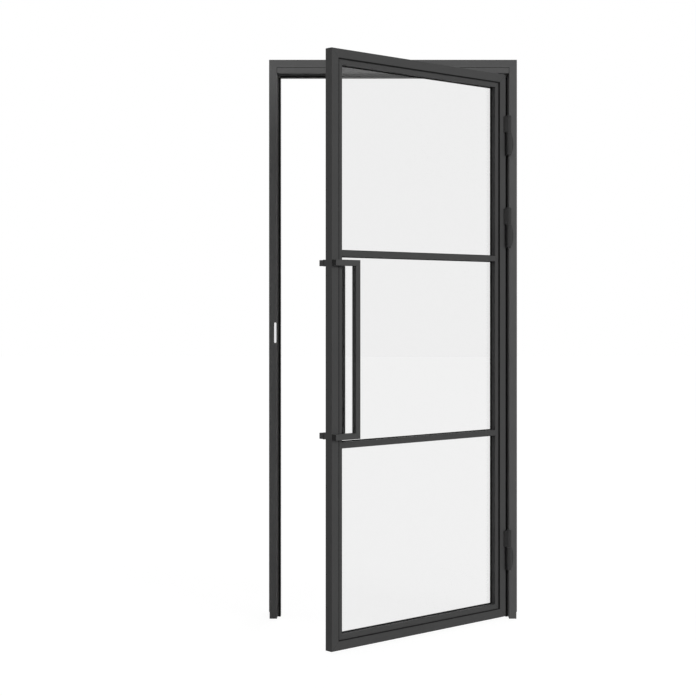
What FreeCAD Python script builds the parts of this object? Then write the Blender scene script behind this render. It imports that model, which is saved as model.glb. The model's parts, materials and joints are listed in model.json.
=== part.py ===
import FreeCAD, Part
import math
import os
import re
import Sketcher

# Steel-framed glass door with a three-sided tube frame, open at 43 degrees.
# Frame pieces use the row frame: x = 0 is the hinge jamb's wall face, y = 0 the middle of
# the jamb's depth, z = 0 the floor. The viewer's side and the leaf's swing are towards -y.
# Leaf pieces are drawn with the leaf shut and the hinge axis at their own x = 0, y = 0,
# then placed on the axis and turned by the opening angle.

doc = FreeCAD.newDocument("steel_glass_door")

SIZES = {
    "FrameWidth": 900,
    "FrameHeight": 2015,
    "FrameDepth": 125,
    "JambWidth": 27,
    "TubeWall": 2,
    "CoverSide": 12,
    "CoverTop": 43,
    "CoverThickness": 4,
    "LeafWidth": 834,
    "LeafHeight": 1972,
    "LeafDepth": 32,
    "FloorGap": 10,
    "HingeGap": 5,
    "OpenAngle": 43,
    "StileWidth": 30,
    "LipWidth": 20,
    "LipThickness": 2,
    "BeadSetback": 6,
    "BeadDepth": 19,
    "BeadWall": 1.5,
    "BeadRound": 0.8,
    "TubeRound": 1.5,
    "MuntinWidth": 20,
    "MuntinWeb": 6,
    "MuntinBite": 6,
    "GlassThickness": 5,
    "GlassBite": 12,
    "StopWidth": 10.5,
    "StopDepth": 25,
    "StopGap": 5,
    "SealWidth": 6,
    "SealThickness": 3,
    "HingeStandoff": 12,
    "HingeLow": 184,
    "HingeMiddle": 1356,
    "HingeHigh": 1691,
    "LowerKnuckle": 79.5,
    "UpperKnuckle": 58,
    "KnuckleGap": 0.5,
    "BarrelRadius": 9.5,
    "PinRadius": 5,
    "PinPlay": 0.05,
    "PinCap": 3,
    "PinChamfer": 2,
    "JambWingReach": 17,
    "LeafWingReach": 14,
    "WingThickness": 4,
    "WingRound": 2,
    "WingStart": 0.5,
    "HandleSection": 20,
    "HandleWall": 2,
    "HandleLow": 700,
    "HandleLength": 590,
    "HandleReach": 107,
    "HandleInset": 1,
    "RearHandleInset": 13,
    "StubLength": 26,
    "StrikeWidth": 8,
    "StrikeLength": 75,
    "StrikeLow": 1005,
    "StrikeInset": 17,
    "StrikeProud": 0.5,
    "FixingRadius": 3.5,
    "FixingLow": 250,
    "FixingPitch": 500,
    "FixingDepth": 30,
}

sheet = doc.addObject("Spreadsheet::Sheet", "Size")
for row, (alias, size) in enumerate(SIZES.items(), start=1):
    sheet.set(f"A{row}", alias)
    sheet.set(f"B{row}", str(size))
    sheet.setAlias(f"B{row}", alias)
doc.recompute()


def expression(text):
    """Turn the sheet's bare names into references to its cells."""
    return re.sub(r"\b[A-Z][A-Za-z]+\b", r"Size.\g<0>", text)


def value(text):
    return float(sheet.evalExpression(expression(text)))


def bind(thing, target, text):
    thing.setExpression(target, expression(text))


# Places that several pieces share
FRONT = "-FrameDepth / 2"
BACK = "FrameDepth / 2"
HEAD_UNDERSIDE = "FrameHeight - JambWidth"
STRIKE_INNER = "JambWidth - FrameWidth"
AXIS_X = "-(JambWidth + HingeGap / 2)"
AXIS_Y = "-(FrameDepth / 2 + HingeStandoff)"
STOP_FRONT = "LeafDepth + StopGap + SealThickness - FrameDepth / 2"

# Depths in the leaf's own frame, from the hinge axis towards the back
LEAF_FRONT = "HingeStandoff"
LEAF_BACK = "HingeStandoff + LeafDepth"
BEAD_FRONT = "HingeStandoff + BeadSetback"
GLASS_FRONT = "HingeStandoff + BeadSetback + BeadDepth"
LIP_FRONT = "HingeStandoff + LeafDepth - LipThickness"
LEAF_FREE = "-(LeafWidth + HingeGap / 2)"
LEAF_HINGED = "-HingeGap / 2"
LEAF_LOW = "FloorGap"
LEAF_HIGH = "(FloorGap + LeafHeight)"
MEMBER = "(StileWidth + LipWidth)"
PANE_HEIGHT = f"((LeafHeight - 2 * {MEMBER} - 2 * MuntinWidth) / 3)"

pieces = []


def piece(label, on_leaf=False):
    """A new body. One on the leaf stands on the hinge axis, turned by the opening angle."""
    body = doc.addObject("PartDesign::Body", label)
    body.Label = label
    if on_leaf:
        bind(body, ".Placement.Base.x", AXIS_X)
        bind(body, ".Placement.Base.y", AXIS_Y)
        bind(body, ".Placement.Rotation.Angle", "OpenAngle")
    pieces.append(body)
    return body


def new_sketch(body, role, offset):
    """An empty sketch on one of the body's own planes, moved along the plane's normal."""
    made = body.newObject("Sketcher::SketchObject", body.Label + "_sketch")
    plane = [datum for datum in body.Origin.OriginFeatures if datum.Role == role][0]
    made.AttachmentSupport = [(plane, "")]
    made.MapMode = "FlatFace"
    bind(made, ".AttachmentOffset.Base.z", offset)
    return made


def fix_point(sketch, geometry, end, name, across, up):
    """Hold one point of the sketch at two distances from its origin."""
    for kind, text in (("DistanceX", across), ("DistanceY", up)):
        index = sketch.addConstraint(Sketcher.Constraint(kind, -1, 1, geometry, end, value(text)))
        sketch.renameConstraint(index, f"{name}{kind}")
        bind(sketch, f"Constraints.{name}{kind}", text)


def polygon(body, role, offset, corners):
    """A closed outline of straight lines through the corners, each given as two sizes."""
    sketch = new_sketch(body, role, offset)
    points = [FreeCAD.Vector(value(across), value(up), 0) for across, up in corners]
    for index, start in enumerate(points):
        end = points[(index + 1) % len(points)]
        sketch.addGeometry(Part.LineSegment(start, end), False)
    for index in range(len(points)):
        following = (index + 1) % len(points)
        sketch.addConstraint(Sketcher.Constraint("Coincident", index, 2, following, 1))
    for index, (across, up) in enumerate(corners):
        fix_point(sketch, index, 1, f"Corner{index}", across, up)
    return sketch


def circle(body, role, offset, across, up, radius):
    sketch = new_sketch(body, role, offset)
    centre = FreeCAD.Vector(value(across), value(up), 0)
    sketch.addGeometry(Part.Circle(centre, FreeCAD.Vector(0, 0, 1), value(radius)), False)
    fix_point(sketch, 0, 3, "Centre", across, up)
    index = sketch.addConstraint(Sketcher.Constraint("Radius", 0, value(radius)))
    sketch.renameConstraint(index, "Radius")
    bind(sketch, "Constraints.Radius", radius)
    return sketch


def feature(body, kind, sketch, length):
    made = body.newObject(f"PartDesign::{kind}", f"{body.Label}_{kind.lower()}")
    made.Profile = sketch
    bind(made, "Length", length)
    return made


def rectangle(left, right, low, high):
    return [(left, low), (right, low), (right, high), (left, high)]


def add_plate(body, corners, front, back):
    """Material between two depths behind an outline drawn in elevation."""
    sketch = polygon(body, "XZ_Plane", f"-({back})", corners)
    return feature(body, "Pad", sketch, f"({back}) - ({front})")


def cut_plate(body, corners, front, back):
    sketch = polygon(body, "XZ_Plane", f"-({front})", corners)
    return feature(body, "Pocket", sketch, f"({back}) - ({front})")


def hollow_bar(body, outer, inner, front, back, wall):
    """A tube in elevation: the outer outline, less the inner one between its front and back walls."""
    add_plate(body, outer, front, back)
    cut_plate(body, inner, f"({front}) + {wall}", f"({back}) - {wall}")


def round_edges(body, depths, radius, shortest=100, longest_only=False):
    """Round the long straight edges that lie at the given depths."""
    doc.recompute()
    base = body.Tip
    found = []
    for number, edge in enumerate(base.Shape.Edges, start=1):
        ends = [vertex.Point.y for vertex in edge.Vertexes]
        level = any(all(abs(end - value(depth)) < 0.001 for end in ends) for depth in depths)
        if level and edge.Length > shortest:
            found.append((edge.Length, f"Edge{number}"))
    if longest_only:
        found = [max(found)]
    made = body.newObject("PartDesign::Fillet", f"{body.Label}_fillet")
    made.Base = (base, [name for length, name in found])
    bind(made, "Radius", radius)


def side_of_ring(left, right, low, high, index, outer, inner):
    """One mitred side of a rectangular ring between two insets; sides run bottom, right, top, left."""

    def corners(inset):
        return rectangle(
            f"({left}) + ({inset})", f"({right}) - ({inset})", f"({low}) + ({inset})", f"({high}) - ({inset})"
        )

    far = corners(outer)
    near = corners(inner)
    following = (index + 1) % 4
    return [far[index], far[following], near[following], near[index]]


# Strike plate: a flat strip with round ends, let into a slot of its own shape in the strike jamb's face
def slot(body, make, grow, front, back):
    """The strike plate's outline, a bar with round ends, added to or cut from a body."""
    left = "StrikeInset - FrameWidth"
    middle = "StrikeInset + StrikeWidth / 2 - FrameWidth"
    right = "StrikeInset + StrikeWidth - FrameWidth"
    radius = "StrikeWidth / 2"
    low = "StrikeLow + StrikeWidth / 2"
    high = "StrikeLow + StrikeLength - StrikeWidth / 2"
    make(body, rectangle(left, right, low, high), front, back)
    for height in (low, high):
        if grow:
            sketch = circle(body, "XZ_Plane", f"-({back})", middle, height, radius)
            feature(body, "Pad", sketch, f"({back}) - ({front})")
        else:
            sketch = circle(body, "XZ_Plane", f"-({front})", middle, height, radius)
            feature(body, "Pocket", sketch, f"({back}) - ({front})")


# Frame: two jambs of box tube from floor to top, open at the foot, with the head butted between them
def jamb(label, left, right):
    body = piece(label)
    outer = rectangle(left, right, "0", "FrameHeight")
    inner = rectangle(f"{left} + TubeWall", f"{right} - TubeWall", "0", "FrameHeight - TubeWall")
    hollow_bar(body, outer, inner, FRONT, BACK, "TubeWall")
    for step in range(4):
        height = f"FixingLow + {step} * FixingPitch"
        sketch = circle(body, "YZ_Plane", right, "FixingDepth", height, "FixingRadius")
        feature(body, "Pocket", sketch, "JambWidth")
    round_edges(body, (FRONT, BACK), "TubeRound")
    return body


hinge_jamb = jamb("hinge_jamb", "-JambWidth", "0")
strike_jamb = jamb("strike_jamb", "-FrameWidth", STRIKE_INNER)
slot(strike_jamb, cut_plate, False, FRONT, f"{FRONT} + TubeWall")

head = piece("head")
hollow_bar(
    head,
    rectangle(STRIKE_INNER, "-JambWidth", HEAD_UNDERSIDE, "FrameHeight"),
    rectangle(STRIKE_INNER, "-JambWidth", f"{HEAD_UNDERSIDE} + TubeWall", "FrameHeight - TubeWall"),
    FRONT,
    BACK,
    "TubeWall",
)
round_edges(head, (FRONT, BACK), "TubeRound")

strike_plate = piece("strike_plate")
slot(strike_plate, add_plate, True, f"{FRONT} - StrikeProud", f"{FRONT} + TubeWall")


# Stops: small tubes on the reveal that the shut leaf closes against, each with a rubber seal
def stop(label, outer, inner):
    body = piece(label)
    hollow_bar(body, outer, inner, STOP_FRONT, f"{STOP_FRONT} + StopDepth", "BeadWall")
    round_edges(body, (STOP_FRONT, f"{STOP_FRONT} + StopDepth"), "BeadRound")


def seal(label, corners):
    body = piece(label)
    add_plate(body, corners, f"{STOP_FRONT} - SealThickness", STOP_FRONT)


STOP_LOW = f"{HEAD_UNDERSIDE} - StopWidth"
SEAL_HIGH = f"{STOP_LOW} + SealWidth"
for side, left, right, seal_left, seal_right in (
    ("hinge", "-JambWidth - StopWidth", "-JambWidth", "0", "SealWidth - StopWidth"),
    ("strike", STRIKE_INNER, f"{STRIKE_INNER} + StopWidth", "StopWidth - SealWidth", "0"),
):
    stop(
        f"{side}_stop",
        rectangle(left, right, "0", HEAD_UNDERSIDE),
        rectangle(f"{left} + BeadWall", f"{right} - BeadWall", "0", f"{HEAD_UNDERSIDE} - BeadWall"),
    )
    seal(f"{side}_seal", rectangle(f"{left} + {seal_left}", f"{right} + {seal_right}", "0", STOP_LOW))

stop(
    "head_stop",
    rectangle(f"{STRIKE_INNER} + StopWidth", "-JambWidth - StopWidth", STOP_LOW, HEAD_UNDERSIDE),
    rectangle(
        f"{STRIKE_INNER} + StopWidth",
        "-JambWidth - StopWidth",
        f"{STOP_LOW} + BeadWall",
        f"{HEAD_UNDERSIDE} - BeadWall",
    ),
)
seal("head_seal", rectangle(f"{STRIKE_INNER} + StopWidth", "-JambWidth - StopWidth", STOP_LOW, SEAL_HIGH))

# Rear cover strips: flat bars on the back of the frame that hide the joint with the wall
COVER_BACK = f"{BACK} + CoverThickness"
COVER_HIGH = "FrameHeight + CoverTop"
for label, corners in (
    ("hinge_cover", rectangle("-JambWidth", "CoverSide", "0", COVER_HIGH)),
    ("strike_cover", rectangle("-FrameWidth - CoverSide", STRIKE_INNER, "0", COVER_HIGH)),
    ("head_cover", rectangle(STRIKE_INNER, "-JambWidth", HEAD_UNDERSIDE, COVER_HIGH)),
):
    add_plate(piece(label), corners, BACK, COVER_BACK)

# Leaf: four mitred members, each a box tube with a lip along its back that the glass is laid against
RING = (LEAF_FREE, LEAF_HINGED, LEAF_LOW, LEAF_HIGH)
for index, side in enumerate(("bottom_rail", "hinge_stile", "top_rail", "free_stile")):
    member = piece(side, on_leaf=True)
    add_plate(member, side_of_ring(*RING, index, "0", "StileWidth"), LEAF_FRONT, LEAF_BACK)
    add_plate(member, side_of_ring(*RING, index, "StileWidth", MEMBER), LIP_FRONT, LEAF_BACK)
    cut_plate(
        member,
        side_of_ring(*RING, index, "TubeWall", "StileWidth - TubeWall"),
        f"{LEAF_FRONT} + TubeWall",
        f"{LEAF_BACK} - TubeWall",
    )
    round_edges(member, (LEAF_FRONT,), "TubeRound")
    round_edges(member, (LEAF_BACK,), "TubeRound", longest_only=True)

# Panes: three equal sheets whose edges run in behind the beads
SIGHT_LEFT = f"{LEAF_FREE} + {MEMBER}"
SIGHT_RIGHT = f"{LEAF_HINGED} - {MEMBER}"
for index, name in enumerate(("lower_pane", "middle_pane", "upper_pane")):
    sight_low = f"{LEAF_LOW} + {MEMBER} + {index} * ({PANE_HEIGHT} + MuntinWidth)"
    bite_low = "GlassBite" if index == 0 else "MuntinBite"
    bite_high = "GlassBite" if index == 2 else "MuntinBite"
    corners = rectangle(
        f"{SIGHT_LEFT} - GlassBite",
        f"{SIGHT_RIGHT} + GlassBite",
        f"{sight_low} - {bite_low}",
        f"{sight_low} + {PANE_HEIGHT} + {bite_high}",
    )
    add_plate(piece(name, on_leaf=True), corners, GLASS_FRONT, LIP_FRONT)

# Glazing beads: small box sections in front of the glass, set back from the members' faces
for index, side in enumerate(("bottom_bead", "hinge_bead", "top_bead", "free_bead")):
    bead = piece(side, on_leaf=True)
    hollow_bar(
        bead,
        side_of_ring(*RING, index, "StileWidth", MEMBER),
        side_of_ring(*RING, index, "StileWidth + BeadWall", f"{MEMBER} - BeadWall"),
        BEAD_FRONT,
        GLASS_FRONT,
        "BeadWall",
    )
    round_edges(bead, (BEAD_FRONT,), "BeadRound")

# Muntins: a flat T bar behind, whose web parts two panes, and a bead in front like those round the edge
for index, name in enumerate(("lower_muntin", "upper_muntin")):
    low = f"{LEAF_LOW} + {MEMBER} + {index + 1} * {PANE_HEIGHT} + {index} * MuntinWidth"
    high = f"{low} + MuntinWidth"
    web_low = f"{low} + (MuntinWidth - MuntinWeb) / 2"
    bar = piece(name, on_leaf=True)
    add_plate(bar, rectangle(SIGHT_LEFT, SIGHT_RIGHT, low, high), LIP_FRONT, LEAF_BACK)
    add_plate(bar, rectangle(SIGHT_LEFT, SIGHT_RIGHT, web_low, f"{web_low} + MuntinWeb"), GLASS_FRONT, LIP_FRONT)
    bead = piece(f"{name}_bead", on_leaf=True)
    hollow_bar(
        bead,
        rectangle(SIGHT_LEFT, SIGHT_RIGHT, low, high),
        rectangle(SIGHT_LEFT, SIGHT_RIGHT, f"{low} + BeadWall", f"{high} - BeadWall"),
        BEAD_FRONT,
        GLASS_FRONT,
        "BeadWall",
    )
    round_edges(bead, (BEAD_FRONT,), "BeadRound")

# Pull handles: a mitred C of square tube laid flat on each side of the free stile, its bar over the glass.
# The front one is welded straight on the stile; the rear one stands on two stubs, clear of the stop.
HANDLE_HIGH = "(HandleLow + HandleLength)"
HANDLE_RIGHT = f"({LEAF_FREE} + HandleInset + HandleReach)"
REAR_LEFT = f"({LEAF_FREE} + RearHandleInset)"
REAR_FRONT = f"({LEAF_BACK} + StubLength)"


def pull_handle(bar_label, arm_prefix, left, front):
    """The upright bar, mitred at both ends, and the two arms that carry it, open at their free ends."""
    back = f"{front} + HandleSection"
    ring = (left, HANDLE_RIGHT, "HandleLow", HANDLE_HIGH)
    bar = piece(bar_label, on_leaf=True)
    hollow_bar(
        bar,
        side_of_ring(*ring, 1, "0", "HandleSection"),
        side_of_ring(*ring, 1, "HandleWall", "HandleSection - HandleWall"),
        front,
        back,
        "HandleWall",
    )
    round_edges(bar, (front, back), "TubeRound")
    for level, outside, inward in (("lower", "HandleLow", ""), ("upper", HANDLE_HIGH, "-")):
        arm = piece(f"{arm_prefix}{level}_arm", on_leaf=True)
        hollow_bar(
            arm,
            arm_outline(left, outside, inward, "0", "HandleSection"),
            arm_outline(left, outside, inward, "HandleWall", "HandleSection - HandleWall"),
            front,
            back,
            "HandleWall",
        )
        round_edges(arm, (front, back), "TubeRound", shortest=40)


def arm_outline(left, outside, inward, outer, inner):
    """An arm between two insets from its outer edge: square where it starts, mitred where it meets the bar."""
    far = f"{outside} + ({inward}({outer}))"
    near = f"{outside} + ({inward}({inner}))"
    return [(left, far), (f"{HANDLE_RIGHT} - ({outer})", far), (f"{HANDLE_RIGHT} - ({inner})", near), (left, near)]


pull_handle("pull_bar", "", f"({LEAF_FREE} + HandleInset)", f"({LEAF_FRONT} - HandleSection)")
pull_handle("rear_bar", "rear_", REAR_LEFT, REAR_FRONT)
for level, low in (("lower", "HandleLow"), ("upper", f"{HANDLE_HIGH} - HandleSection")):
    corners = rectangle(REAR_LEFT, f"{REAR_LEFT} + HandleSection", low, f"{low} + HandleSection")
    add_plate(piece(f"{level}_stub", on_leaf=True), corners, LEAF_BACK, REAR_FRONT)


# Hinges: a lower knuckle on the jamb, an upper one on the stile, and a pin that stays in the jamb's
def barrel_and_wing(body, low, length, side, reach):
    """A barrel with a wing back to the face it is welded on; side is + for the jamb, - for the leaf."""
    feature(body, "Pad", circle(body, "XY_Plane", low, "0", "0", "BarrelRadius"), length)
    wing = [
        ("0", "0"),
        (f"{side}BarrelRadius * cos(20)", "-BarrelRadius * sin(20)"),
        (f"{side}{reach}", "HingeStandoff - WingThickness"),
        (f"{side}{reach}", "HingeStandoff"),
        (f"{side}WingThickness", "HingeStandoff"),
    ]
    feature(body, "Pad", polygon(body, "XY_Plane", low, wing), length)


def round_wing_corners(body, reach):
    doc.recompute()
    base = body.Tip
    corners = [
        f"Edge{number}"
        for number, edge in enumerate(base.Shape.Edges, start=1)
        if abs(edge.Length - value("WingThickness")) < 0.001
        and abs(abs(edge.CenterOfMass.x) - value(reach)) < 0.001
    ]
    rounded = body.newObject("PartDesign::Fillet", f"{body.Label}_fillet")
    rounded.Base = (base, corners)
    bind(rounded, "Radius", "WingRound")


def bow_wing(body, low, length, reach):
    """Trim a wing to one long arc, which leaves the barrel at each end and reaches furthest midway."""
    start = "(BarrelRadius + WingStart)"
    rise = f"({reach} - {start})"
    radius = f"(({length} / 2)^2 + {rise}^2) / (2 * {rise})"
    middle = f"{low} + {length} / 2"
    high = f"{low} + {length}"
    far = f"{reach} + WingThickness"
    sketch = new_sketch(body, "XZ_Plane", "BarrelRadius")
    centre = FreeCAD.Vector(value(f"{reach} - {radius}"), value(middle), 0)
    sweep = math.asin(value(f"{length} / 2") / value(radius))
    full_circle = Part.Circle(centre, FreeCAD.Vector(0, 0, 1), value(radius))
    sketch.addGeometry(Part.ArcOfCircle(full_circle, -sweep, sweep), False)
    outline = [(start, low), (far, low), (far, high), (start, high)]
    points = [FreeCAD.Vector(value(across), value(up), 0) for across, up in outline]
    for begin, finish in zip(points, points[1:]):
        sketch.addGeometry(Part.LineSegment(begin, finish), False)
    for joint in ((0, 1, 1, 1), (1, 2, 2, 1), (2, 2, 3, 1), (3, 2, 0, 2)):
        sketch.addConstraint(Sketcher.Constraint("Coincident", *joint))
    fix_point(sketch, 1, 1, "Start", start, low)
    fix_point(sketch, 2, 1, "FarLow", far, low)
    fix_point(sketch, 3, 1, "FarHigh", far, high)
    fix_point(sketch, 3, 2, "End", start, high)
    index = sketch.addConstraint(Sketcher.Constraint("Radius", 0, value(radius)))
    sketch.renameConstraint(index, "Bow")
    bind(sketch, "Constraints.Bow", radius)
    feature(body, "Pocket", sketch, "BarrelRadius + HingeStandoff")


def bore(body, low, length):
    hole = circle(body, "XY_Plane", f"{low} + {length}", "0", "0", "PinRadius + PinPlay")
    feature(body, "Pocket", hole, length)


for name, low in (("lower", "HingeLow"), ("middle", "HingeMiddle"), ("upper", "HingeHigh")):
    fixed = piece(f"{name}_hinge_lower_knuckle")
    bind(fixed, ".Placement.Base.x", AXIS_X)
    bind(fixed, ".Placement.Base.y", AXIS_Y)
    barrel_and_wing(fixed, low, "LowerKnuckle", "", "JambWingReach")
    bow_wing(fixed, low, "LowerKnuckle", "JambWingReach")
    bore(fixed, low, "LowerKnuckle")

    moving = piece(f"{name}_hinge_upper_knuckle", on_leaf=True)
    above = f"{low} + LowerKnuckle + KnuckleGap"
    barrel_and_wing(moving, above, "UpperKnuckle", "-", "LeafWingReach")
    round_wing_corners(moving, "LeafWingReach")
    bore(moving, above, "UpperKnuckle")

    pin = piece(f"{name}_hinge_pin")
    bind(pin, ".Placement.Base.x", AXIS_X)
    bind(pin, ".Placement.Base.y", AXIS_Y)
    top = f"{low} + LowerKnuckle + UpperKnuckle + 2 * KnuckleGap"
    profile = polygon(
        pin,
        "XZ_Plane",
        "0",
        [
            ("0", f"{low} - PinCap"),
            ("BarrelRadius - PinChamfer", f"{low} - PinCap"),
            ("BarrelRadius", f"{low} - PinCap + PinChamfer"),
            ("BarrelRadius", low),
            ("PinRadius", low),
            ("PinRadius", top),
            ("BarrelRadius", top),
            ("BarrelRadius", f"{top} + PinCap - PinChamfer"),
            ("BarrelRadius - PinChamfer", f"{top} + PinCap"),
            ("0", f"{top} + PinCap"),
        ],
    )
    turned = pin.newObject("PartDesign::Revolution", f"{pin.Label}_revolution")
    turned.Profile = profile
    turned.ReferenceAxis = (profile, ["V_Axis"])
    turned.Angle = 360

doc.recompute()

for thing in doc.Objects:
    if "Invalid" in thing.State or "Error" in thing.State:
        raise RuntimeError(f"{thing.Label} failed: {thing.State}")
for body in pieces:
    if body.Shape.isNull() or not body.Shape.isValid() or len(body.Shape.Solids) != 1:
        raise RuntimeError(f"{body.Label} is not one valid solid")

os.makedirs("parts", exist_ok=True)
for body in pieces:
    body.Shape.exportStep(os.path.join("parts", body.Label + ".step"))
    print(f"{body.Label}: {body.Shape.Volume / 1000:.1f} cm3")
print(len(pieces), "pieces")
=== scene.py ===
import json
import math

import bmesh
import bpy
from mathutils import Matrix, Vector


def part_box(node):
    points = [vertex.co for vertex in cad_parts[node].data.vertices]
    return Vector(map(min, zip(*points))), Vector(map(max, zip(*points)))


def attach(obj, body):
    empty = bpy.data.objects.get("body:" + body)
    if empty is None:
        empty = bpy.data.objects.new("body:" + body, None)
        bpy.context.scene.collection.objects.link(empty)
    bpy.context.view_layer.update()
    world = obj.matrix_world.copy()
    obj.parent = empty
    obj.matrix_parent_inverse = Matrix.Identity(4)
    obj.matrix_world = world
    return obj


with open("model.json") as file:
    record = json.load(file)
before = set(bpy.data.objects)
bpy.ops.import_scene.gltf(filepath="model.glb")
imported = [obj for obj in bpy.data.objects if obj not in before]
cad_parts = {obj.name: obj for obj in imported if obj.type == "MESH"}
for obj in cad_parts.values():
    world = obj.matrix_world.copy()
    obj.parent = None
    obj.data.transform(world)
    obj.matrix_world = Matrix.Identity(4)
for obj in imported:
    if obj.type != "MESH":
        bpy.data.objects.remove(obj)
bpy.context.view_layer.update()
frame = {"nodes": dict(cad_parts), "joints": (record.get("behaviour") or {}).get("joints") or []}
scene = bpy.context.scene
scene.view_settings.view_transform = "Standard"

# Camera: the door stands with its frame square to the picture and its leaf open towards the eye.
# The eye is a little over a metre above the floor, a long way back, and looks level, so the
# uprights stay upright and the picture is shifted on the lens instead.
IMAGE_PIXELS = 696
EYE_HEIGHT = 1.127
EYE_DISTANCE = 5.43
FOCAL_PIXELS = 1490
SENSOR = 36.0
DOOR_CENTRE_PIXEL = 393
HORIZON_PIXEL = 309.5

hinge_jamb_low, hinge_jamb_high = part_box("hinge_jamb")
strike_jamb_low, strike_jamb_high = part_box("strike_jamb")
frame_front = hinge_jamb_low.y
frame_middle = (hinge_jamb_high.x + strike_jamb_low.x) / 2

eye = bpy.data.cameras.new("eye")
eye.sensor_width = SENSOR
eye.lens = FOCAL_PIXELS / IMAGE_PIXELS * SENSOR
eye.shift_x = (IMAGE_PIXELS / 2 - DOOR_CENTRE_PIXEL) / IMAGE_PIXELS
eye.shift_y = (HORIZON_PIXEL - IMAGE_PIXELS / 2) / IMAGE_PIXELS
camera = bpy.data.objects.new("camera", eye)
camera.location = (frame_middle, frame_front - EYE_DISTANCE, EYE_HEIGHT)
camera.rotation_euler = (math.pi / 2, 0, 0)
scene.collection.objects.link(camera)
scene.camera = camera

# Jambs and head: box tube of cold-rolled steel, cut square, the head butted between the jambs
# and welded. All the steel is powder coated in a fine-textured satin anthracite, whose grain
# of about a millimetre breaks up the light, with faint patches of deeper and paler colour.
# The same anthracite as the leaf, set paler here: painted light for the frame's better-lit faces.
LIT_ANTHRACITE = (0.107, 0.107, 0.107, 1)
FRAME_ROUGHNESS = 0.5
GRAIN_SCALE = 1100.0
GRAIN_DETAIL = 3
GRAIN_ROUGHNESS = 0.55
GRAIN_STRENGTH = 0.35
GRAIN_DEPTH = 0.0004
PATCH_SCALE = 9
PATCH_DETAIL = 4
PATCHINESS = 0.22
NOISE_MEAN = 0.5
COAT_SPECULAR = 0.1
MITRE_HALF_WIDTH = 0.0004
MITRE_SHADE = 0.35


def group_socket(group, name, in_out, kind, default=None):
    """Add an input or an output to a node group, an input with its usual value."""
    socket = group.interface.new_socket(name=name, in_out=in_out, socket_type=kind)
    if default is not None:
        socket.default_value = default


def calculate(tree, operation, *given):
    """Add a maths node that works on sockets or plain numbers, and give its result."""
    node = tree.nodes.new("ShaderNodeMath")
    node.operation = operation
    for socket, value in zip(node.inputs, given):
        if isinstance(value, bpy.types.NodeSocket):
            tree.links.new(value, socket)
        else:
            socket.default_value = value
    return node.outputs[0]


def make_powder_group():
    """Powder coat: orange-peel grain for the bump, with slight patches of colour and gloss."""
    group = bpy.data.node_groups.new("powder coat grain", "ShaderNodeTree")
    group_socket(group, "Colour", "INPUT", "NodeSocketColor", LIT_ANTHRACITE)
    group_socket(group, "Grain size", "INPUT", "NodeSocketFloat", GRAIN_SCALE)
    group_socket(group, "Patchiness", "INPUT", "NodeSocketFloat", PATCHINESS)
    group_socket(group, "Roughness", "INPUT", "NodeSocketFloat", FRAME_ROUGHNESS)
    group_socket(group, "Colour", "OUTPUT", "NodeSocketColor")
    group_socket(group, "Roughness", "OUTPUT", "NodeSocketFloat")
    group_socket(group, "Height", "OUTPUT", "NodeSocketFloat")
    nodes = group.nodes
    link = group.links.new
    given = nodes.new("NodeGroupInput").outputs
    out = nodes.new("NodeGroupOutput").inputs
    place = nodes.new("ShaderNodeTexCoord").outputs["Object"]
    grain = nodes.new("ShaderNodeTexNoise")
    grain.inputs["Detail"].default_value = GRAIN_DETAIL
    grain.inputs["Roughness"].default_value = GRAIN_ROUGHNESS
    link(place, grain.inputs["Vector"])
    link(given["Grain size"], grain.inputs["Scale"])
    patch = nodes.new("ShaderNodeTexNoise")
    patch.inputs["Scale"].default_value = PATCH_SCALE
    patch.inputs["Detail"].default_value = PATCH_DETAIL
    link(place, patch.inputs["Vector"])
    around = calculate(group, "SUBTRACT", patch.outputs["Fac"], NOISE_MEAN)
    sway = calculate(group, "MULTIPLY", around, given["Patchiness"])
    tone = nodes.new("ShaderNodeHueSaturation")
    link(given["Colour"], tone.inputs["Color"])
    link(calculate(group, "ADD", sway, 1), tone.inputs["Value"])
    link(tone.outputs["Color"], out["Colour"])
    link(calculate(group, "ADD", given["Roughness"], sway), out["Roughness"])
    link(grain.outputs["Fac"], out["Height"])
    return group


def make_mitre_group():
    """A hairline where two members meet at 45 degrees, in a ring that stands along a direction."""
    group = bpy.data.node_groups.new("mitre hairline", "ShaderNodeTree")
    group_socket(group, "Along", "INPUT", "NodeSocketVector", (1, 0, 0))
    for name in ("Left", "Right", "Low", "High", "Half width"):
        group_socket(group, name, "INPUT", "NodeSocketFloat", 0.0)
    group_socket(group, "Mask", "OUTPUT", "NodeSocketFloat")
    nodes = group.nodes
    link = group.links.new
    given = nodes.new("NodeGroupInput").outputs
    out = nodes.new("NodeGroupOutput").inputs
    place = nodes.new("ShaderNodeTexCoord").outputs["Object"]
    across = nodes.new("ShaderNodeVectorMath")
    across.operation = "DOT_PRODUCT"
    link(place, across.inputs[0])
    link(given["Along"], across.inputs[1])
    upward = nodes.new("ShaderNodeSeparateXYZ")
    link(place, upward.inputs[0])
    inset = []
    for distance, low, high in (
        (across.outputs["Value"], given["Left"], given["Right"]),
        (upward.outputs["Z"], given["Low"], given["High"]),
    ):
        from_low = calculate(group, "SUBTRACT", distance, low)
        from_high = calculate(group, "SUBTRACT", high, distance)
        inset.append(calculate(group, "MINIMUM", from_low, from_high))
    away = calculate(group, "ABSOLUTE", calculate(group, "SUBTRACT", *inset))
    link(calculate(group, "LESS_THAN", away, given["Half width"]), out["Mask"])
    return group


powder_group = make_powder_group()
mitre_group = make_mitre_group()


def new_material(name):
    """A new material, with its node tree and its shader."""
    material = bpy.data.materials.new(name)
    material.use_nodes = True
    return material, material.node_tree, material.node_tree.nodes["Principled BSDF"]


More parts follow.
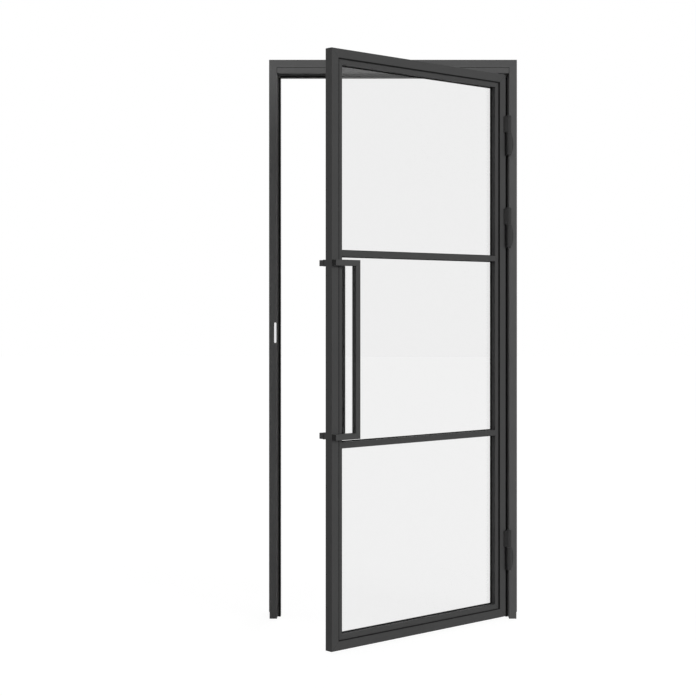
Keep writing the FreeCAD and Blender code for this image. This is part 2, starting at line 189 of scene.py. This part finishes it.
def powder_coat(name, colour, roughness, mitre=None):
    """Powder coat; mitre gives the direction, the two sides, the foot and the top of a ring."""
    material, tree, shader = new_material(name)
    nodes = tree.nodes
    link = tree.links.new
    coat = nodes.new("ShaderNodeGroup")
    coat.node_tree = powder_group
    coat.inputs["Colour"].default_value = colour
    coat.inputs["Roughness"].default_value = roughness
    relief = nodes.new("ShaderNodeBump")
    relief.inputs["Strength"].default_value = GRAIN_STRENGTH
    relief.inputs["Distance"].default_value = GRAIN_DEPTH
    base = coat.outputs["Colour"]
    if mitre:
        hairline = nodes.new("ShaderNodeGroup")
        hairline.node_tree = mitre_group
        for socket, given in zip(("Along", "Left", "Right", "Low", "High"), mitre):
            hairline.inputs[socket].default_value = given
        hairline.inputs["Half width"].default_value = MITRE_HALF_WIDTH
        shade = nodes.new("ShaderNodeMix")
        shade.data_type = "RGBA"
        shade.inputs["B"].default_value = [MITRE_SHADE * part for part in colour[:3]] + [1]
        link(hairline.outputs["Mask"], shade.inputs["Factor"])
        link(base, shade.inputs["A"])
        base = shade.outputs["Result"]
    link(base, shader.inputs["Base Color"])
    link(coat.outputs["Roughness"], shader.inputs["Roughness"])
    link(coat.outputs["Height"], relief.inputs["Height"])
    link(relief.outputs["Normal"], shader.inputs["Normal"])
    shader.inputs["Specular IOR Level"].default_value = COAT_SPECULAR
    return material


def finish_nodes(material, *names):
    """Give CAD nodes their finish."""
    for name in names:
        mesh = frame["nodes"][name].data
        mesh.materials.clear()
        mesh.materials.append(material)


lit_frame_coat = powder_coat("frame powder coat with painted light", LIT_ANTHRACITE, FRAME_ROUGHNESS)
finish_nodes(lit_frame_coat, "hinge_jamb", "strike_jamb", "head")

# Joint lines of the head: paintable sealant, drawn thin over the two butt joints. The line of the
# same black along the head's face, just under its top edge, is painted shade: a shadow line.
SEALANT_AND_SHADE = (0.010, 0.010, 0.010, 1)
JOINT_WIDTH = 0.0014
JOINT_PROUD = 0.0002
SHADE_LINE_DROP = 0.006
RUBBER_SPECULAR = 0.1
BLOOM_SCALE = 60


def spread_roughness(tree, shader, place, scale, smoothest, roughest):
    """Let a noise move a shader's roughness between two values."""
    noise = tree.nodes.new("ShaderNodeTexNoise")
    noise.inputs["Scale"].default_value = scale
    tree.links.new(place, noise.inputs["Vector"])
    spread = tree.nodes.new("ShaderNodeMapRange")
    spread.inputs["To Min"].default_value = smoothest
    spread.inputs["To Max"].default_value = roughest
    tree.links.new(noise.outputs["Fac"], spread.inputs["Value"])
    tree.links.new(spread.outputs["Result"], shader.inputs["Roughness"])


def plain_rubber(name, colour, smoothest, roughest):
    """Rubber, sealant or plastic: nearly black, with patches of bloom that take the gloss off."""
    material, tree, shader = new_material(name)
    shader.inputs["Base Color"].default_value = colour
    shader.inputs["Specular IOR Level"].default_value = RUBBER_SPECULAR
    place = tree.nodes.new("ShaderNodeTexCoord").outputs["Object"]
    spread_roughness(tree, shader, place, BLOOM_SCALE, smoothest, roughest)
    return material


def add_box(work, low, high, bevel=0.0):
    """A box between two corners, with its edges rounded."""
    low = Vector(low)
    high = Vector(high)
    place = Matrix.Translation((low + high) / 2) @ Matrix.Diagonal((*(high - low), 1))
    verts = bmesh.ops.create_cube(work, size=1, matrix=place)["verts"]
    if bevel:
        edges = list(dict.fromkeys(edge for vert in verts for edge in vert.link_edges))
        bmesh.ops.bevel(
            work, geom=edges, offset=bevel, segments=2, profile=0.5, affect="EDGES", material=-1
        )


def new_piece(name, work, material, body):
    """Turn a finished bmesh into a piece that rides on a body and takes the given finish."""
    bmesh.ops.recalc_face_normals(work, faces=work.faces)
    mesh = bpy.data.meshes.new(name)
    work.to_mesh(mesh)
    work.free()
    mesh.materials.append(material)
    made = bpy.data.objects.new(name, mesh)
    scene.collection.objects.link(made)
    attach(made, body)


sealant = plain_rubber("joint sealant and painted shade", SEALANT_AND_SHADE, smoothest=0.6, roughest=0.8)
head_low, head_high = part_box("head")
# The upper line is painted shade, a shadow line drawn under the head's top edge.
shade_line_height = head_high.z - SHADE_LINE_DROP
shade_line_low = shade_line_height - JOINT_WIDTH / 2
shade_line_high = shade_line_height + JOINT_WIDTH / 2
joint_front = frame_front - JOINT_PROUD
joint_back = frame_front + JOINT_PROUD
work = bmesh.new()
add_box(work, (head_low.x, joint_front, shade_line_low), (head_high.x, joint_back, shade_line_high))
for joint in (head_low.x, head_high.x):
    add_box(
        work,
        (joint - JOINT_WIDTH / 2, joint_front, head_low.z),
        (joint + JOINT_WIDTH / 2, joint_back, shade_line_high),
    )
new_piece("head_joint_and_shade_lines", work, sealant, "frame")

# Fixing caps: domed black plastic caps pressed into the holes in the reveals, over the screws
# that hold the frame to the wall.
CAP_BLACK = (0.007, 0.007, 0.007, 1)
CAP_RADIUS = 0.0034
CAP_LENGTH = 0.003
CAP_SUNK = 0.0004
CAP_ROUND = CAP_LENGTH / 4
CAP_SIDES = 24
FIXING_DEPTH = 0.030
FIXING_HEIGHTS = (0.250, 0.750, 1.250, 1.750)

cap_plastic = plain_rubber("cap plastic", CAP_BLACK, smoothest=0.4, roughest=0.55)
lying = Matrix.Rotation(math.pi / 2, 4, "Y")
for side, reveal, inward in (("hinge", hinge_jamb_low.x, 1), ("strike", strike_jamb_high.x, -1)):
    work = bmesh.new()
    cap_middle = reveal + inward * (CAP_SUNK + CAP_LENGTH / 2)
    for height in FIXING_HEIGHTS:
        bmesh.ops.create_cone(
            work,
            cap_ends=True,
            segments=CAP_SIDES,
            radius1=CAP_RADIUS,
            radius2=CAP_RADIUS,
            depth=CAP_LENGTH,
            matrix=Matrix.Translation((cap_middle, FIXING_DEPTH, height)) @ lying,
        )
    rims = [edge for edge in work.edges if any(len(face.verts) > 4 for face in edge.link_faces)]
    bmesh.ops.bevel(
        work, geom=rims, offset=CAP_ROUND, segments=3, profile=0.5, affect="EDGES", material=-1
    )
    new_piece(f"{side}_fixing_caps", work, cap_plastic, "frame")

# Cover strips: flat steel bars in the frame's own coat, screwed to the back of the jambs and the
# head. They reach past the frame and lap over its joint with the wall.
finish_nodes(lit_frame_coat, "hinge_cover", "strike_cover", "head_cover")

# Stops: small steel tubes in the frame's own coat, welded round the reveal. The leaf closes
# against them.
finish_nodes(lit_frame_coat, "hinge_stop", "strike_stop", "head_stop")

# Seals: strips of black rubber, pushed on the front edges of the stops. The shut leaf lies
# against them.
SEAL_BLACK = (0.006, 0.006, 0.006, 1)
seal_rubber = plain_rubber("seal rubber", SEAL_BLACK, smoothest=0.6, roughest=0.8)
finish_nodes(seal_rubber, "hinge_seal", "strike_seal", "head_seal")

# Strike plate: a strip of bright steel, let into the front of the strike jamb. It is left bare
# and brushed along its length.
BRIGHT_STEEL = (0.88, 0.88, 0.89, 1)
BRUSH_SCALE = (2500, 2500, 60)


def bright_finish():
    """Bare steel whose brushing shows as fine upright streaks of gloss."""
    material, tree, shader = new_material("bright steel")
    shader.inputs["Base Color"].default_value = BRIGHT_STEEL
    shader.inputs["Metallic"].default_value = 1
    place = tree.nodes.new("ShaderNodeTexCoord").outputs["Object"]
    stretch = tree.nodes.new("ShaderNodeMapping")
    stretch.inputs["Scale"].default_value = BRUSH_SCALE
    tree.links.new(place, stretch.inputs["Vector"])
    brushed = stretch.outputs["Vector"]
    spread_roughness(tree, shader, brushed, scale=1, smoothest=0.3, roughest=0.5)
    return material


finish_nodes(bright_finish(), "strike_plate")

# Leaf members: four lengths of lipped steel tube, mitred and welded at the corners and ground
# flush, so that only a hairline shows. Their colour is set deeper than the frame's: painted shade.
SHADED_LEAF_ANTHRACITE = (0.063, 0.063, 0.063, 1)
LEAF_ROUGHNESS = 0.5

swing = frame["joints"][0]
open_angle = -math.radians(swing["range_deg"][0])
leaf_frame = Matrix.Translation(swing["pos_m"]) @ Matrix.Rotation(open_angle, 4, "Z")
along_leaf = (math.cos(open_angle), math.sin(open_angle), 0)
along_start = Vector(along_leaf).dot(Vector(swing["pos_m"]))


def leaf_box(name):
    """A leaf node's lowest and highest corners, square to the leaf, with the hinge axis at 0."""
    back = leaf_frame.inverted()
    points = [back @ vert.co for vert in frame["nodes"][name].data.vertices]
    return tuple(
        Vector([pick(point[axis] for point in points) for axis in range(3)]) for pick in (min, max)
    )


free_low, free_high = leaf_box("free_stile")
hinge_low, hinge_high = leaf_box("hinge_stile")
leaf_left = along_start + free_low.x
leaf_right = along_start + hinge_high.x
leaf_ring = (along_leaf, leaf_left, leaf_right, free_low.z, free_high.z)
shaded_leaf_coat = powder_coat("leaf powder coat with painted shade", SHADED_LEAF_ANTHRACITE, LEAF_ROUGHNESS, mitre=leaf_ring)
finish_nodes(shaded_leaf_coat, "hinge_stile", "free_stile", "top_rail", "bottom_rail")

# Muntins and glazing beads: the steel T bars between the panes, welded between the stiles, and
# the small box sections that hold the glass from the front. They share the members' coat.
finish_nodes(shaded_leaf_coat, "upper_muntin", "lower_muntin", "upper_muntin_bead", "lower_muntin_bead")
finish_nodes(shaded_leaf_coat, "top_bead", "bottom_bead", "hinge_bead", "free_bead")

# Bead step shade: a black strip laid in the step between the members' faces and the beads, so a
# dark line runs all round inside the leaf's face. It is painted shade for the shadow in that step.
GASKET_AND_SHADE_BLACK = (0.006, 0.006, 0.006, 1)
SHADE_STRIP_WIDTH = 0.0026
SHADE_STRIP_PROUD = 0.0050


def add_ring(work, left, right, low, high, depth, width, proud):
    """A flat rectangular ring in the leaf's own plane, raised from its depth along y."""
    size = Matrix.Diagonal(((right - left) / 2, (high - low) / 2, 1, 1))
    stand = Matrix.Rotation(math.pi / 2, 4, "X")
    place = Matrix.Translation(((left + right) / 2, depth, (low + high) / 2)) @ stand @ size
    grid = bmesh.ops.create_grid(work, x_segments=1, y_segments=1, size=1, matrix=place)
    middle = list(grid["verts"][0].link_faces)
    rim = bmesh.ops.inset_region(
        work, faces=middle, thickness=width, use_boundary=True, use_even_offset=True
    )["faces"]
    bmesh.ops.delete(work, geom=middle, context="FACES")
    raised = bmesh.ops.extrude_face_region(work, geom=rim, use_keep_orig=True)["geom"]
    lifted = [item for item in raised if isinstance(item, bmesh.types.BMVert)]
    bmesh.ops.translate(work, verts=lifted, vec=(0, proud, 0))


def new_leaf_piece(name, work, material):
    """Turn what was drawn square to the leaf to where the leaf stands, as a piece on the leaf."""
    bmesh.ops.transform(work, matrix=leaf_frame, verts=work.verts)
    new_piece(name, work, material, "leaf")


gasket_and_shade_rubber = plain_rubber("gasket rubber and painted shade", GASKET_AND_SHADE_BLACK, smoothest=0.5, roughest=0.7)
# The strip is painted shade, drawn where the step between the members and the beads lies in
# shadow.
bead_low, bead_high = leaf_box("free_bead")
beads_right = leaf_box("hinge_bead")[1].x
work = bmesh.new()
add_ring(
    work, bead_low.x, beads_right, bead_low.z, bead_high.z, bead_low.y, SHADE_STRIP_WIDTH, -SHADE_STRIP_PROUD
)
new_leaf_piece("bead_step_shade", work, gasket_and_shade_rubber)

# Panes: clear toughened float glass, which is very slightly grey. Each is set between the lips
# behind and the beads in front.
GLASS_TINT = (0.853, 0.853, 0.853, 1)
GLASS_IOR = 1.45


def glass_finish():
    """Clear glass with polished faces."""
    material, _, shader = new_material("clear glass")
    shader.inputs["Base Color"].default_value = GLASS_TINT
    shader.inputs["Transmission Weight"].default_value = 1
    shader.inputs["Roughness"].default_value = 0
    shader.inputs["IOR"].default_value = GLASS_IOR
    return material


finish_nodes(glass_finish(), "upper_pane", "middle_pane", "lower_pane")

# Glazing gaskets: black rubber lines round each pane, pressed in between the glass and the beads
# in front, and between the glass and the lips behind.
GASKET_WIDTH = 0.0026
GASKET_PROUD = 0.0014

sight_left = free_high.x
sight_right = hinge_low.x
bars = [leaf_box(name) for name in ("bottom_rail", "lower_muntin", "upper_muntin", "top_rail")]
for level, below, above in zip(("lower", "middle", "upper"), bars, bars[1:]):
    sight_low = below[1].z
    sight_high = above[0].z
    pane_low, pane_high = leaf_box(f"{level}_pane")
    work = bmesh.new()
    for depth, proud in ((pane_low.y, -GASKET_PROUD), (pane_high.y, GASKET_PROUD)):
        add_ring(
            work, sight_left, sight_right, sight_low, sight_high, depth, GASKET_WIDTH, proud
        )
    new_leaf_piece(f"{level}_gasket", work, gasket_and_shade_rubber)

# Pull handles: square steel tube mitred into a C. The front one is welded flat on the free
# stile, the rear one stands on two stubs. Both have a coat close to the stile's, and show a
# hairline at the right-hand corners only, so the ring of their mitres starts far to the left.
HANDLE_ANTHRACITE = (0.070, 0.070, 0.070, 1)
HANDLE_ROUGHNESS = 0.46
FAR_LEFT = -10.0

bar_low, bar_high = leaf_box("pull_bar")
handle_ring = (along_leaf, FAR_LEFT, along_start + bar_high.x, bar_low.z, bar_high.z)
handle_coat = powder_coat(
    "handle powder coat", HANDLE_ANTHRACITE, HANDLE_ROUGHNESS, mitre=handle_ring
)
finish_nodes(handle_coat, "pull_bar", "upper_arm", "lower_arm")
finish_nodes(handle_coat, "rear_bar", "rear_upper_arm", "rear_lower_arm")
finish_nodes(handle_coat, "upper_stub", "lower_stub")

# End plugs: the arms' open ends are closed, in front with black plastic plugs that have a flat
# flange, and behind with thin steel plates, welded on and coated with the rest. The front plugs'
# black also stands for the shade on the front arms' ends: painted shade.
PLUG_FLANGE = 0.0006
PLUG_BEVEL = 0.0003
PLUG_DEPTH = 0.006
PLUG_PLAY = 0.0021

for name, prefix, plug_material, slot in (
    ("arm_end_plugs", "", cap_plastic, "seal_rubber"),
    ("rear_arm_end_plates", "rear_", handle_coat, "handle_steel"),
):
    work = bmesh.new()
    for level in ("lower", "upper"):
        arm_low, arm_high = leaf_box(f"{prefix}{level}_arm")
        add_box(
            work,
            arm_low + Vector((-PLUG_FLANGE, PLUG_FLANGE, PLUG_FLANGE)),
            (arm_low.x, arm_high.y - PLUG_FLANGE, arm_high.z - PLUG_FLANGE),
            PLUG_BEVEL,
        )
        add_box(
            work,
            arm_low + Vector((-PLUG_FLANGE / 2, PLUG_PLAY, PLUG_PLAY)),
            (arm_low.x + PLUG_DEPTH, arm_high.y - PLUG_PLAY, arm_high.z - PLUG_PLAY),
        )
    new_leaf_piece(name, work, plug_material)

# Weld collars: the fillet weld round each stub, where it meets the stile and the rear arm,
# dressed to a low rounded collar and coated over.
COLLAR_PROUD = 0.0012
COLLAR_LENGTH = 0.0016
COLLAR_ROUND = COLLAR_LENGTH * 0.45

work = bmesh.new()
for level in ("lower", "upper"):
    stub_low, stub_high = leaf_box(f"{level}_stub")
    for near, far in (
        (stub_low.y, stub_low.y + COLLAR_LENGTH),
        (stub_high.y - COLLAR_LENGTH, stub_high.y),
    ):
        add_box(
            work,
            (stub_low.x - COLLAR_PROUD, near, stub_low.z - COLLAR_PROUD),
            (stub_high.x + COLLAR_PROUD, far, stub_high.z + COLLAR_PROUD),
            COLLAR_ROUND,
        )
new_leaf_piece("stub_weld_collars", work, handle_coat)

# Hinges: turned steel knuckles whose wings are welded to the jamb and the stile, on loose pins.
# Their colour is set a deeper black than the steel round them: painted shade for their shaded
# sides.
SHADED_HINGE_BLACK = (0.042, 0.042, 0.042, 1)
HINGE_ROUGHNESS = 0.42
HINGE_HEIGHTS = ("lower", "middle", "upper")

shaded_hinge_coat = powder_coat("hinge paint with painted shade", SHADED_HINGE_BLACK, HINGE_ROUGHNESS)
for height in HINGE_HEIGHTS:
    for part in ("lower_knuckle", "upper_knuckle", "pin"):
        finish_nodes(shaded_hinge_coat, f"{height}_hinge_{part}")

# Hinge welds: a bead along each wing's edge, bowed on the jamb as the wing is, straight on the
# leaf, where the ripples of the weld still show under the paint.
WELD_RADIUS = 0.0013
WELD_SIDES = 10
WELD_STEPS = 48
WELD_RIPPLE = 0.12
RIPPLE_PITCH = 0.0035
BOW_SHARE = 0.97
WELD_END = 0.003
LONG_EDGE = 0.02


def bow_weld(work, wing_low, wing_high):
    """A weld bent round the bowed edge of a jamb wing, given the corners of its knuckle."""
    barrel = axis_x - wing_low.x
    half = (wing_high.z - wing_low.z) / 2
    middle = (wing_high.z + wing_low.z) / 2
    rise = wing_high.x - axis_x - barrel
    bow = (half * half + rise * rise) / (2 * rise)
    centre = Vector((wing_high.x - bow, frame_front, middle))
    sweep = math.asin(BOW_SHARE * half / bow)
    turned = Matrix.Translation(centre) @ Matrix.Rotation(sweep, 4, "Y")
    start = turned @ Matrix.Translation((bow, 0, 0))
    profile = bmesh.ops.create_circle(
        work, cap_ends=True, segments=WELD_SIDES, radius=WELD_RADIUS, matrix=start
    )["verts"]
    caps = list(profile[0].link_faces)
    rim = list(caps[0].edges)
    bmesh.ops.spin(
        work,
        geom=profile + rim + caps,
        cent=centre,
        axis=(0, 1, 0),
        angle=-2 * sweep,
        steps=WELD_STEPS,
        use_merge=False,
    )


def straight_weld(work, wing_low, wing_high):
    """A weld along the straight edge of a leaf wing, given the corners of its knuckle."""
    low = wing_low.z + WELD_END
    high = wing_high.z - WELD_END
    bmesh.ops.create_cone(
        work,
        cap_ends=True,
        segments=WELD_SIDES,
        radius1=WELD_RADIUS,
        radius2=WELD_RADIUS,
        depth=high - low,
        matrix=Matrix.Translation((wing_low.x, free_low.y, (low + high) / 2)),
    )


axis_x = swing["pos_m"][0]
jamb_welds = bmesh.new()
leaf_welds = bmesh.new()
for height in HINGE_HEIGHTS:
    bow_weld(jamb_welds, *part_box(f"{height}_hinge_lower_knuckle"))
    leaf_wing_low, leaf_wing_high = leaf_box(f"{height}_hinge_upper_knuckle")
    straight_weld(leaf_welds, leaf_wing_low, leaf_wing_high)
long_edges = [edge for edge in leaf_welds.edges if edge.calc_length() > LONG_EDGE]
bmesh.ops.subdivide_edges(leaf_welds, edges=long_edges, cuts=WELD_STEPS)
for vert in leaf_welds.verts:
    centre = Vector((leaf_wing_low.x, free_low.y, vert.co.z))
    swell = WELD_RIPPLE * math.sin(vert.co.z * 2 * math.pi / RIPPLE_PITCH)
    vert.co += (vert.co - centre) * swell
new_piece("jamb_wing_welds", jamb_welds, shaded_hinge_coat, "frame")
new_leaf_piece("leaf_wing_welds", leaf_welds, shaded_hinge_coat)

# Studio: a plain floor and surroundings that look white to the camera, in the glass and in the
# gloss, while the door's soft shadow stays on the floor. Four broad, distant lamps light it.
FLOOR_SIZE = 60.0
FLOOR_COLOUR = (0.20, 0.20, 0.20, 1)
FLOOR_LIFT = 0.925
SOFT_LIGHT = 0.20
WHITE = (1, 1, 1, 1)
# A lamp's name, strength, spread, bearing from the viewer's side towards the right, and height.
LAMPS = (
    ("right lamp", 2.2, 40, 45, 9),
    ("front lamp", 0.65, 40, 0, 9),
    ("left lamp", 0.75, 30, -92, 6),
    ("back lamp", 1.4, 40, 165, 12),
)


def background_rays(tree):
    """One for rays from the camera, in the gloss and through the glass, else nothing."""
    path = tree.nodes.new("ShaderNodeLightPath").outputs
    seen = path["Is Camera Ray"]
    for name in ("Is Glossy Ray", "Is Transmission Ray"):
        seen = calculate(tree, "MAXIMUM", seen, path[name])
    return seen


def floor_finish():
    """A matt floor, lifted to white for the rays that see the background."""
    material, tree, shader = new_material("studio floor")
    shader.inputs["Base Color"].default_value = FLOOR_COLOUR
    shader.inputs["Roughness"].default_value = 1
    shader.inputs["Specular IOR Level"].default_value = 0
    shader.inputs["Emission Color"].default_value = WHITE
    lift = calculate(tree, "MULTIPLY", background_rays(tree), FLOOR_LIFT)
    tree.links.new(lift, shader.inputs["Emission Strength"])
    return material


bpy.ops.mesh.primitive_plane_add(size=FLOOR_SIZE, location=(frame_middle, 0, 0))
floor = bpy.context.object
floor.name = "floor"
floor.data.materials.append(floor_finish())

world = bpy.data.worlds.new("white surroundings")
world.use_nodes = True
scene.world = world
surroundings = world.node_tree
surroundings.nodes.clear()
output = surroundings.nodes.new("ShaderNodeOutputWorld")
choose = surroundings.nodes.new("ShaderNodeMixShader")
surroundings.links.new(background_rays(surroundings), choose.inputs["Fac"])
for place, strength in ((1, SOFT_LIGHT), (2, 1)):
    background = surroundings.nodes.new("ShaderNodeBackground")
    background.inputs["Color"].default_value = WHITE
    background.inputs["Strength"].default_value = strength
    surroundings.links.new(background.outputs[0], choose.inputs[place])
surroundings.links.new(choose.outputs[0], output.inputs["Surface"])

for name, strength, spread, bearing, height in LAMPS:
    light = bpy.data.lights.new(name, "SUN")
    light.energy = strength
    light.angle = math.radians(spread)
    lamp = bpy.data.objects.new(name, light)
    lamp.rotation_euler = (math.radians(90 - height), 0, math.radians(bearing))
    lamp.visible_camera = False
    lamp.visible_transmission = False
    lamp.visible_glossy = False
    scene.collection.objects.link(lamp)
